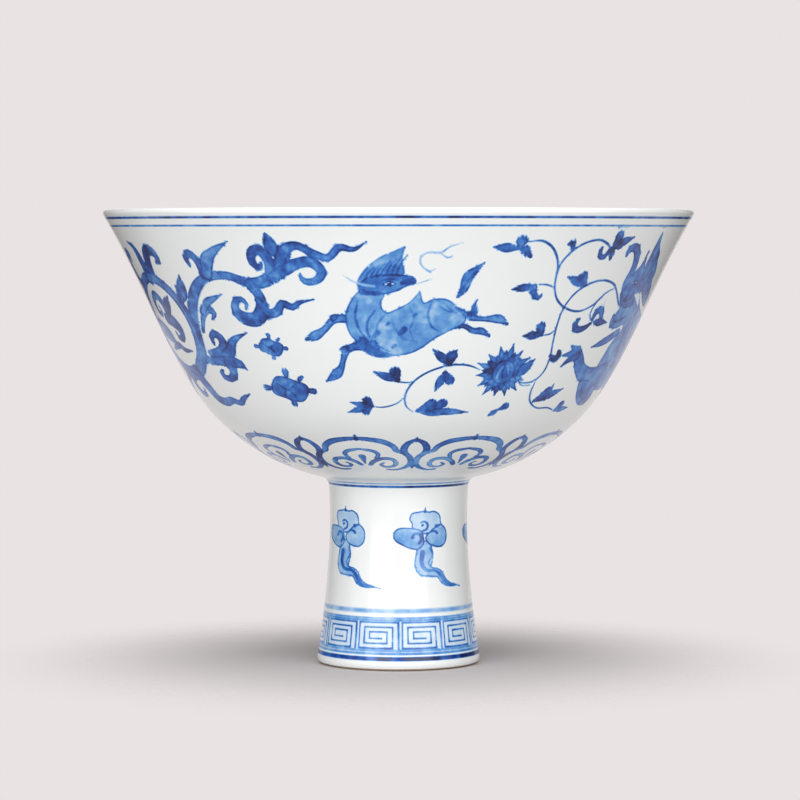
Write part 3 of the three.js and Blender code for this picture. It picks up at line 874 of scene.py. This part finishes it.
def flat_sheet(skin, painting, rows, columns):
    """Corners and triangles of a sheet: its rims, its two ends with matching rows, and the rest between."""
    low, high = skin.up[0], skin.up[-1]
    rows = [r for r in rows if low + ROW_CLEAR < r < high - ROW_CLEAR]
    free = np.vstack([painting.samples(), np.array([(a, u) for u in rows for a in columns[1:-1]])])
    off_seam = np.abs(free[:, 0]) < SEAM - SEAM_CLEAR
    free = free[off_seam & (free[:, 1] > low + RIM_CLEAR) & (free[:, 1] < high - RIM_CLEAR)]
    free = thinned(free, painting.soft * THINNING)
    seam = np.arange(low, high, painting.spacing * SEAM_SPACING)[1:-1]
    seam = np.unique(np.round(np.concatenate([seam, rows]), 3))
    rim = [(a, low) for a in columns] + [(a, high) for a in columns]
    ends = [(-SEAM, u) for u in seam] + [(SEAM, u) for u in seam]
    made = delaunay_2d_cdt([Vector(p) for p in np.vstack([rim, ends, free])], [], [], 0, SAME_PLACE)
    return np.array([(v.x, v.y) for v in made[0]]), np.array(made[2])


def joined_ends(flat, triangles):
    """The triangles with the sheet's two ends made one."""
    serve = np.arange(len(flat))
    left = np.flatnonzero(flat[:, 0] < ON_SEAM - SEAM)
    right = np.flatnonzero(flat[:, 0] > SEAM - ON_SEAM)
    match = {round(float(flat[i, 1]), 2): i for i in left}
    serve[right] = [match[round(float(flat[i, 1]), 2)] for i in right]
    return serve[triangles]


def clay_side(profile, lower, upper, first, angles):
    """Corners and faces of the side that lies on the clay, from the sheet's lower rim to its upper one."""
    size = len(angles)
    points, faces, previous = [], [], lower
    for k, (radius, height) in enumerate(profile):
        level = np.full(size, height)
        points.append(np.stack([radius * np.sin(angles), -radius * np.cos(angles), level], 1) * MM)
        current = range(first + k * size, first + (k + 1) * size)
        faces += band_between(previous, current)
        previous = current
    return np.vstack(points), faces + band_between(previous, upper)


def band_between(below, above):
    """Four-sided faces between two rows of corners."""
    size = len(below)
    return [(below[(i + 1) % size], below[i], above[i], above[(i + 1) % size]) for i in range(size)]


def map_sheet(mesh, skin, corners):
    """The unrolled sheet in strips, one over another, and the clay side in a corner of its own."""
    low, high = skin.up[0], skin.up[-1]
    width = 2 * SEAM / STRIPS
    strip = np.clip(((corners[:, :, 0].mean(1) + SEAM) / width).astype(int), 0, STRIPS - 1)[:, None]
    u = STRIP_SIDE + (1 - 2 * STRIP_SIDE) * ((corners[:, :, 0] + SEAM) / width - strip)
    v = STRIP_END + (1 - 2 * STRIP_END) * (corners[:, :, 1] - low) / (high - low)
    v = (strip + v) / (STRIPS + MAP_TOP)
    sheet = np.stack([u, v], 2).reshape(-1, 2)
    others = (len(mesh.loops) - len(sheet)) // 4
    every = np.vstack([sheet, np.tile(CLAY_CORNER, (others, 1))]).astype(np.float32)
    mesh.uv_layers.new(name="OFBake").data.foreach_set("uv", every.reshape(-1))


def round_normals(mesh, sheet_normals):
    """Normals of the true curve on the sheet, and those of the faces on the side towards the clay."""
    flat_faces = np.zeros(len(mesh.polygons) * 3, np.float32)
    mesh.polygons.foreach_get("normal", flat_faces)
    flat_faces = flat_faces.reshape(-1, 3)
    behind = np.repeat(flat_faces[len(sheet_normals) // 3 :], 4, 0)
    mesh.normals_split_custom_set([tuple(v) for v in np.vstack([sheet_normals, behind])])


def placed(name, mesh, node, material):
    """A finished mesh as a piece that stands for a node of the frame."""
    mesh.materials.append(material)
    piece = bpy.data.objects.new(name, mesh)
    bpy.context.scene.collection.objects.link(piece)
    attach(piece, "root")
    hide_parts(node)


def painted_piece(name, skin, painting, rows, rings, behind, material):
    """A coat of glaze whose mesh carries the painting, with the side that lies on the clay behind it."""
    columns = np.linspace(-SEAM, SEAM, COLUMNS + 1)
    flat, triangles = flat_sheet(skin, painting, rows, columns)
    points, normals = skin.place(flat[:, 0], flat[:, 1])

    def rim_row(height):
        off_row = ROW_FIRST * np.abs(flat[:, 1] - height)
        return [int(np.argmin(np.abs(flat[:, 0] - a) + off_row)) for a in columns[:-1]]

    lower, upper = rim_row(skin.up[0]), rim_row(skin.up[-1])
    clay_points, clay_faces = clay_side(behind, lower, upper, len(points), np.radians(columns[:-1]))
    mesh = bpy.data.meshes.new(name)
    faces = [tuple(int(i) for i in t) for t in joined_ends(flat, triangles)]
    mesh.from_pydata([tuple(p) for p in np.vstack([points, clay_points])], [], faces + clay_faces)
    tone = np.maximum(painting.tone(flat), ring_tones(rings, flat))
    tone = np.concatenate([tone, np.zeros(len(clay_points))]).astype(np.float32)
    mesh.attributes.new("cobalt", "FLOAT", "POINT").data.foreach_set("value", tone)
    map_sheet(mesh, skin, flat[triangles])
    mesh.update()
    mesh.shade_smooth()
    round_normals(mesh, normals[triangles.reshape(-1)])
    placed(name, mesh, "outside_glaze", material)


def spun_piece(name, profile, node, material, columns=COLUMNS):
    """A piece turned about the axis from a profile that closes on itself or on the axis."""
    form = bmesh.new()
    places = [form.verts.new((p[0] * MM, 0, p[1] * MM)) for p in profile]
    edges = [form.edges.new(pair) for pair in zip(places, places[1:])]
    if profile[0][0] > 0:
        edges.append(form.edges.new((places[-1], places[0])))
    bmesh.ops.spin(
        form,
        geom=places + edges,
        cent=(0, 0, 0),
        axis=(0, 0, 1),
        angle=2 * math.pi,
        steps=columns,
        use_merge=True,
    )
    bmesh.ops.remove_doubles(form, verts=form.verts, dist=SAME_PLACE)
    bmesh.ops.recalc_face_normals(form, faces=form.faces)
    mesh = bpy.data.meshes.new(name)
    form.to_mesh(mesh)
    form.free()
    mesh.shade_smooth()
    mesh.set_sharp_from_angle(angle=math.radians(CREASE_DEGREES))
    placed(name, mesh, node, material)


# Materials


def colour(red, green, blue):
    """A colour given as it looks on screen, in the light values that a shader takes."""
    linear = [((c / 255 + 0.055) / 1.055) ** 2.4 for c in (red, green, blue)]
    return (*linear, 1)


def add(tree, kind, **settings):
    """A node with its settings, and values for its inputs where a setting has an input's name."""
    node = tree.nodes.new(kind)
    for key, value in settings.items():
        if key in node.inputs:
            node.inputs[key].default_value = value
        else:
            setattr(node, key, value)
    return node


def noise(tree, place, scale, detail=2):
    """Fine random variation over a piece."""
    texture = add(tree, "ShaderNodeTexNoise", Scale=scale, Detail=detail)
    tree.links.new(place.outputs["Object"], texture.inputs["Vector"])
    return texture.outputs["Fac"]


def combined(tree, one, other, operation="ADD"):
    node = add(tree, "ShaderNodeMath", operation=operation)
    tree.links.new(one, node.inputs[0])
    tree.links.new(other, node.inputs[1])
    return node.outputs[0]


def ranged(tree, value, source, target):
    """A value carried from one range to another."""
    node = add(tree, "ShaderNodeMapRange")
    for label, (low, high) in (("From", source), ("To", target)):
        node.inputs[f"{label} Min"].default_value = low
        node.inputs[f"{label} Max"].default_value = high
    tree.links.new(value, node.inputs["Value"])
    return node


def ramp_of(tree, value, stops):
    """Colours along a value, from the lowest stop to the highest."""
    ramp = add(tree, "ShaderNodeValToRGB")
    elements = ramp.color_ramp.elements
    elements.remove(elements[1])
    elements[0].position, elements[0].color = stops[0]
    for at, tint in stops[1:]:
        elements.new(at).color = tint
    tree.links.new(value, ramp.inputs["Fac"])
    return ramp.outputs["Color"]


def bumped(tree, surface, height, strength, distance):
    bump = add(tree, "ShaderNodeBump", Strength=strength, Distance=distance)
    tree.links.new(height, bump.inputs["Height"])
    tree.links.new(bump.outputs["Normal"], surface.inputs["Normal"])


def shader(name, roughness):
    material = bpy.data.materials.new(name)
    material.use_nodes = True
    surface = material.node_tree.nodes["Principled BSDF"]
    surface.inputs["Roughness"].default_value = roughness
    surface.inputs["IOR"].default_value = 1.5
    return material, material.node_tree, surface


def glaze_surface_group():
    """The fine unevenness of fired glaze: slow waves, an orange-peel skin and a few pinholes."""
    tree = bpy.data.node_groups.new("glaze_surface", "ShaderNodeTree")
    peel_scale = tree.interface.new_socket("Peel", in_out="INPUT", socket_type="NodeSocketFloat")
    peel_scale.default_value = 900
    tree.interface.new_socket("Height", in_out="OUTPUT", socket_type="NodeSocketFloat")
    tree.interface.new_socket("Cloudiness", in_out="OUTPUT", socket_type="NodeSocketFloat")
    start, end = add(tree, "NodeGroupInput"), add(tree, "NodeGroupOutput")
    place = add(tree, "ShaderNodeTexCoord")
    link = tree.links.new
    peel = add(tree, "ShaderNodeTexNoise")
    link(place.outputs["Object"], peel.inputs["Vector"])
    link(start.outputs["Peel"], peel.inputs["Scale"])
    waves = noise(tree, place, 70)
    pits = add(tree, "ShaderNodeTexVoronoi", Scale=260)
    link(place.outputs["Object"], pits.inputs["Vector"])
    pit = ranged(tree, pits.outputs["Distance"], (0, 0.06), (-0.6, 0))
    skin = add(tree, "ShaderNodeMath", operation="MULTIPLY_ADD")
    skin.inputs[1].default_value = 0.18
    link(peel.outputs["Fac"], skin.inputs[0])
    link(waves, skin.inputs[2])
    link(combined(tree, skin.outputs[0], pit.outputs["Result"]), end.inputs["Height"])
    link(waves, end.inputs["Cloudiness"])
    return tree


WHITE_GLAZE, SHADED_GLAZE = colour(238, 241, 240), colour(232, 237, 238)
COBALT = [
    (0.0, WHITE_GLAZE),
    (0.22, colour(178, 206, 234)),
    (0.42, colour(98, 158, 216)),
    (0.62, colour(44, 110, 192)),
    (0.82, colour(20, 68, 152)),
    (1.0, colour(12, 26, 78)),
]
FIRED_CLAY = [(0.0, colour(222, 208, 188)), (0.3, colour(204, 176, 142)), (0.75, colour(168, 122, 78))]


def glazed(name, glaze_surface):
    """Clear glaze on white porcelain. Returns the material, its nodes and its faintly clouded white."""
    material, tree, surface = shader(name, roughness=0.17)
    skin = add(tree, "ShaderNodeGroup", node_tree=glaze_surface)
    skin.inputs["Peel"].default_value = 900
    white = ramp_of(tree, skin.outputs["Cloudiness"], [(0.35, SHADED_GLAZE), (0.65, WHITE_GLAZE)])
    bumped(tree, surface, skin.outputs["Height"], strength=0.12, distance=0.00012)
    tree.links.new(white, surface.inputs["Base Color"])
    return material, tree, surface, white


def painted(name, glaze_surface):
    """The same glaze over cobalt, which lies as deep as the piece's cobalt attribute says."""
    material, tree, surface, white = glazed(name, glaze_surface)
    cobalt = add(tree, "ShaderNodeAttribute", attribute_name="cobalt")
    place = add(tree, "ShaderNodeTexCoord")
    uneven = combined(tree, noise(tree, place, 420, detail=3), noise(tree, place, 130))
    swing = ranged(tree, uneven, (0.76, 1.24), (0.66, 1.22))
    depth = combined(tree, cobalt.outputs["Fac"], swing.outputs["Result"], "MULTIPLY")
    blue = ramp_of(tree, depth, COBALT)
    mixed = add(tree, "ShaderNodeMix", data_type="RGBA", blend_type="MULTIPLY")
    mixed.inputs["Factor"].default_value = 0.35
    tree.links.new(blue, mixed.inputs["A"])
    tree.links.new(white, mixed.inputs["B"])
    tree.links.new(mixed.outputs["Result"], surface.inputs["Base Color"])
    return material


def biscuit(name):
    """Bare fired porcelain: fine grain, warmer towards the glaze's edge, where iron stains it."""
    material, tree, surface = shader(name, roughness=0.72)
    place = add(tree, "ShaderNodeTexCoord")
    split = add(tree, "ShaderNodeSeparateXYZ")
    tree.links.new(place.outputs["Object"], split.inputs["Vector"])
    height = ranged(tree, split.outputs["Z"], (0, OUTSIDE_GLAZE_END * MM), (0, 1))
    depth = combined(tree, height.outputs["Result"], noise(tree, place, 90), "MULTIPLY")
    tree.links.new(ramp_of(tree, depth, FIRED_CLAY), surface.inputs["Base Color"])
    bumped(tree, surface, noise(tree, place, 700, detail=5), strength=0.35, distance=0.0001)
    return material


# The pieces


def bowl_glaze(material):
    """The painted outside of the bowl, with the same composition on both of its halves."""
    sheet = Skin(bowl_skin(0))
    painting = Painting(sheet, spacing=0.93, soft=0.16, line=0.34)
    for half_turn in (0, 180):
        painting.shift = half_turn
        foliate_roundel(painting)
        turtle(painting, -31.4, 86.8, 0.78)
        turtle(painting, -29.6, 74.8, 1.3)
        lotus_scroll(painting)
        winged_beast(painting)
        leaping_beast(painting)
    lappet_band(painting)
    # The motifs' heights are counted so that 90 mm above the table is 92.15 up the wall
    start = sheet.at_height(90) - 92.15
    painting.raise_all(start)
    rings = [(117.05 + start, 0.16, 0.16, 0.86), (115.3 + start, 0.12, 0.16, 0.62)]
    rings += [(sheet.at_height(47.6), 0.7, 0.6, 0.85), (sheet.at_height(48.4), 0.5, 0.6, 0.4)]
    top = sheet.up[-1]
    fillet_rows, wall_rows = np.arange(0.8, 8, 0.8), np.arange(8, top - 2, 2.0)
    rows = rows_for(np.concatenate([fillet_rows, wall_rows, np.linspace(top - 1.6, top, 9)]), rings)
    behind = bowl_skin(GLAZE)[::WALL_BACK_STRIDE]
    painted_piece("bowl_outside_glaze", sheet, painting, rows, rings, behind, material)


def stem_glaze(material):
    """The painted outside of the stem: five clouds over a band of squared spirals."""
    sheet = Skin(stem_skin(0))
    painting = Painting(sheet, spacing=1.8, soft=0.4, line=1.0)
    for i in range(5):
        painting.shift = 72 * i
        cloud(painting)
    painting.shift = 0
    key_fret(painting)
    # The motifs' heights are counted so that 20 mm above the table is 52.01 up the stem
    start = sheet.at_height(20) - 52.01
    painting.raise_all(start)
    rings = [
        (38.3, 0.9, 1.6, 0.34),
        (33.0, 0.4, 0.8, 0.4),
        (31.4, 0.5, 0.7, 0.5),
        (9.2, 0.6, 0.9, 0.45),
        (7.0, 0.5, 0.8, 0.5),
        (3.4, 1.0, 0.9, 0.92),
        (20.4, 11.4, 1.6, 0.13),
    ]
    rings = [(u + start, half, soft, tone) for u, half, soft, tone in rings]
    rows = rows_for(np.concatenate([np.arange(1, 8, 1), np.arange(8, sheet.up[-1] - 1, 4.0)]), rings)
    behind = stem_skin(GLAZE)[::STEM_BACK_STRIDE]
    painted_piece("stem_outside_glaze", sheet, painting, rows, rings, behind, material)


def inside_glaze(material):
    surface, behind = inside_skin(GLAZE), inside_skin(0)[::-INSIDE_BACK_STRIDE]
    behind[-1] = inside_skin(0)[0]
    spun_piece("bowl_inside_glaze", np.vstack([surface, behind]), "inside_glaze", material)


def stem_clay_and_hollow(bare, glaze):
    """The stem's clay with its bare rounded foot, and the glaze in its hollow."""
    heights = np.linspace(HOLLOW_GLAZE_END, stem_top, BORE_STEPS + 1)
    bore_line = np.array([(bore_radius(h), h) for h in heights])
    clay_profile = [
        [point(bore_radius(0) + FOOT_BEVEL, 0)],
        arc(foot_centre, FOOT_ROUND, -90, glaze_stop, BARE_STEPS)[:-1],
        stem_skin(GLAZE),
        [point(NECK_RADIUS - GLAZE, stem_top)],
        bore_line[::-1],
        [point(bore_radius(FOOT_BEVEL), FOOT_BEVEL)],
    ]
    spun_piece("stem_clay", np.vstack(clay_profile), "stem_body", bare)
    ceiling = underside - GLAZE
    hollow_profile = [
        [point(0, ceiling), point(bore_top - GLAZE, ceiling)],
        (bore_line - point(GLAZE, 0))[::-1],
        bore_line,
        [point(bore_top, underside), point(0, underside)],
    ]
    name, node = "stem_hollow_glaze_coat", "stem_hollow_glaze"
    spun_piece(name, np.vstack(hollow_profile), node, glaze)


def bowl_clay(material):
    """The bowl's clay, which lies wholly between the two coats of glaze and the slip."""
    outline = [
        [point(0, underside)],
        sunk(bowl_curve, GLAZE),
        lip_side(LIP_CLAY / 2, LIP_SLOPE - 90, LIP_PARTING)[1:],
        inside_skin(0)[::-1][1:],
    ]
    profile = np.vstack(outline)
    profile = np.vstack([profile[:-1:CLAY_STRIDE], profile[-1]])
    spun_piece("bowl_clay", profile, "bowl_body", material, columns=CLAY_COLUMNS)


# Floor, light and camera

BACKDROP = colour(233, 227, 227)
# Reach of the floor, the distances from the axis where its painted shadow starts to fade into the backdrop
# and where it is gone, and how far it lies below the foot
FLOOR_REACH, FLOOR_CLEAR, FLOOR_GONE, FLOOR_DROP = 0.6, 0.03, 0.12, 0.0001
CARD_FRONT, CARD_BACK, CARD_HEIGHT = -0.05, 0.8, 0.5
AMBIENT = 0.66


def floor_material():
    """A floor darker than the backdrop that fades into it away from the bowl: a painted shadow round the
    foot, laid under the real shadow that the lamps cast.
    """
    material, tree, surface = shader("floor_painted_shadow", roughness=0.9)
    # Painted shadow: the floor is darker than the backdrop, so near the bowl it shows as shade that fades
    # out with the alpha
    surface.inputs["Base Color"].default_value = colour(210, 205, 203)
    surface.inputs["Specular IOR Level"].default_value = 0
    place = add(tree, "ShaderNodeTexCoord")
    away = add(tree, "ShaderNodeVectorMath", operation="LENGTH")
    tree.links.new(place.outputs["Object"], away.inputs[0])
    fade = ranged(tree, away.outputs["Value"], (FLOOR_CLEAR, FLOOR_GONE), (1, 0))
    fade.interpolation_type = "SMOOTHSTEP"
    tree.links.new(fade.outputs["Result"], surface.inputs["Alpha"])
    return material


def on_stage(name, form, material):
    """A prop of the studio, which isn't part of the bowl."""
    mesh = bpy.data.meshes.new(name)
    form.to_mesh(mesh)
    form.free()
    mesh.materials.append(material)
    prop = bpy.data.objects.new(name, mesh)
    bpy.context.scene.collection.objects.link(prop)
    return prop


def lay_floor():
    form = bmesh.new()
    bmesh.ops.create_grid(form, x_segments=4, y_segments=4, size=FLOOR_REACH)
    on_stage("floor", form, floor_material()).location.z = -FLOOR_DROP


def dark_card(name, across):
    """A standing card beside the bowl that darkens the glaze towards its outline."""
    form = bmesh.new()
    low = [(across, CARD_FRONT, 0), (across, CARD_BACK, 0)]
    high = [(across, CARD_BACK, CARD_HEIGHT), (across, CARD_FRONT, CARD_HEIGHT)]
    form.faces.new([form.verts.new(c) for c in low + high])
    material, _, surface = shader(name, roughness=1.0)
    surface.inputs["Base Color"].default_value = colour(110, 104, 100)
    on_stage(name, form, material).visible_camera = False


def soft_light(name, place, aim, size, watts):
    lamp = bpy.data.lights.new(name, "AREA")
    lamp.shape = "RECTANGLE"
    lamp.size, lamp.size_y = size
    lamp.energy = watts
    light = bpy.data.objects.new(name, lamp)
    light.location = place
    light.rotation_euler = (Vector(aim) - Vector(place)).to_track_quat("-Z", "Y").to_euler()
    bpy.context.scene.collection.objects.link(light)


def studio_world():
    """An even backdrop for the eye and for reflections, and softer light from all round for the rest."""
    world = bpy.data.worlds.new("studio")
    bpy.context.scene.world = world
    world.use_nodes = True
    tree = world.node_tree
    tree.nodes.clear()
    rays = add(tree, "ShaderNodeLightPath").outputs
    seen = combined(tree, rays["Is Camera Ray"], rays["Is Glossy Ray"], "MAXIMUM")
    seen = combined(tree, seen, rays["Is Transmission Ray"], "MAXIMUM")
    ambient = add(tree, "ShaderNodeBackground", Color=colour(233, 230, 230), Strength=AMBIENT)
    backdrop = add(tree, "ShaderNodeBackground", Color=BACKDROP)
    choice, output = add(tree, "ShaderNodeMixShader"), add(tree, "ShaderNodeOutputWorld")
    tree.links.new(seen, choice.inputs["Fac"])
    tree.links.new(ambient.outputs[0], choice.inputs[1])
    tree.links.new(backdrop.outputs[0], choice.inputs[2])
    tree.links.new(choice.outputs[0], output.inputs["Surface"])


# The photograph's frame is 800 pixels square. The lens gives the bowl its size in it.
FRAME_PIXELS, FOCAL_PIXELS = 800, 3450
HORIZON_PIXEL, AXIS_PIXEL = 235, 398.5
SENSOR = 36
DISTANCE, EYE_HEIGHT = 0.909, 0.1127


def set_camera():
    lens = bpy.data.cameras.new("camera")
    lens.sensor_width = SENSOR
    lens.lens = SENSOR * FOCAL_PIXELS / FRAME_PIXELS
    lens.clip_start = 0.05
    camera = bpy.data.objects.new("camera", lens)
    side = DISTANCE * (FRAME_PIXELS / 2 - AXIS_PIXEL) / FOCAL_PIXELS
    camera.location = (side, -DISTANCE, EYE_HEIGHT)
    pitch = math.atan((FRAME_PIXELS / 2 - HORIZON_PIXEL) / FOCAL_PIXELS)
    camera.rotation_euler = (math.pi / 2 - pitch, 0, 0)
    bpy.context.scene.collection.objects.link(camera)
    bpy.context.scene.camera = camera
    bpy.context.scene.view_settings.view_transform = "Standard"


glaze_surface = glaze_surface_group()
painted_glaze = painted("painted_glaze", glaze_surface)
clear_glaze, *_ = glazed("clear_glaze", glaze_surface)
bare_porcelain = biscuit("bare_porcelain")
bowl_glaze(painted_glaze)
stem_glaze(painted_glaze)
inside_glaze(clear_glaze)
stem_clay_and_hollow(bare_porcelain, clear_glaze)
bowl_clay(bare_porcelain)
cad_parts["luting_slip"].data.materials.clear()
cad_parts["luting_slip"].data.materials.append(bare_porcelain)

lay_floor()
dark_card("dark_card_left", -0.26)
dark_card("dark_card_right", 0.28)
soft_light("overhead", (0, -0.25, 0.95), aim=(0, 0, 0.05), size=(1.1, 0.9), watts=5.5)
soft_light("front_left", (-0.6, -1.2, 0.42), aim=(0, 0, 0.07), size=(1.0, 1.0), watts=9.2)
soft_light("front_right", (0.6, -1.2, 0.38), aim=(0, 0, 0.07), size=(1.0, 1.0), watts=7.3)
studio_world()
set_camera()
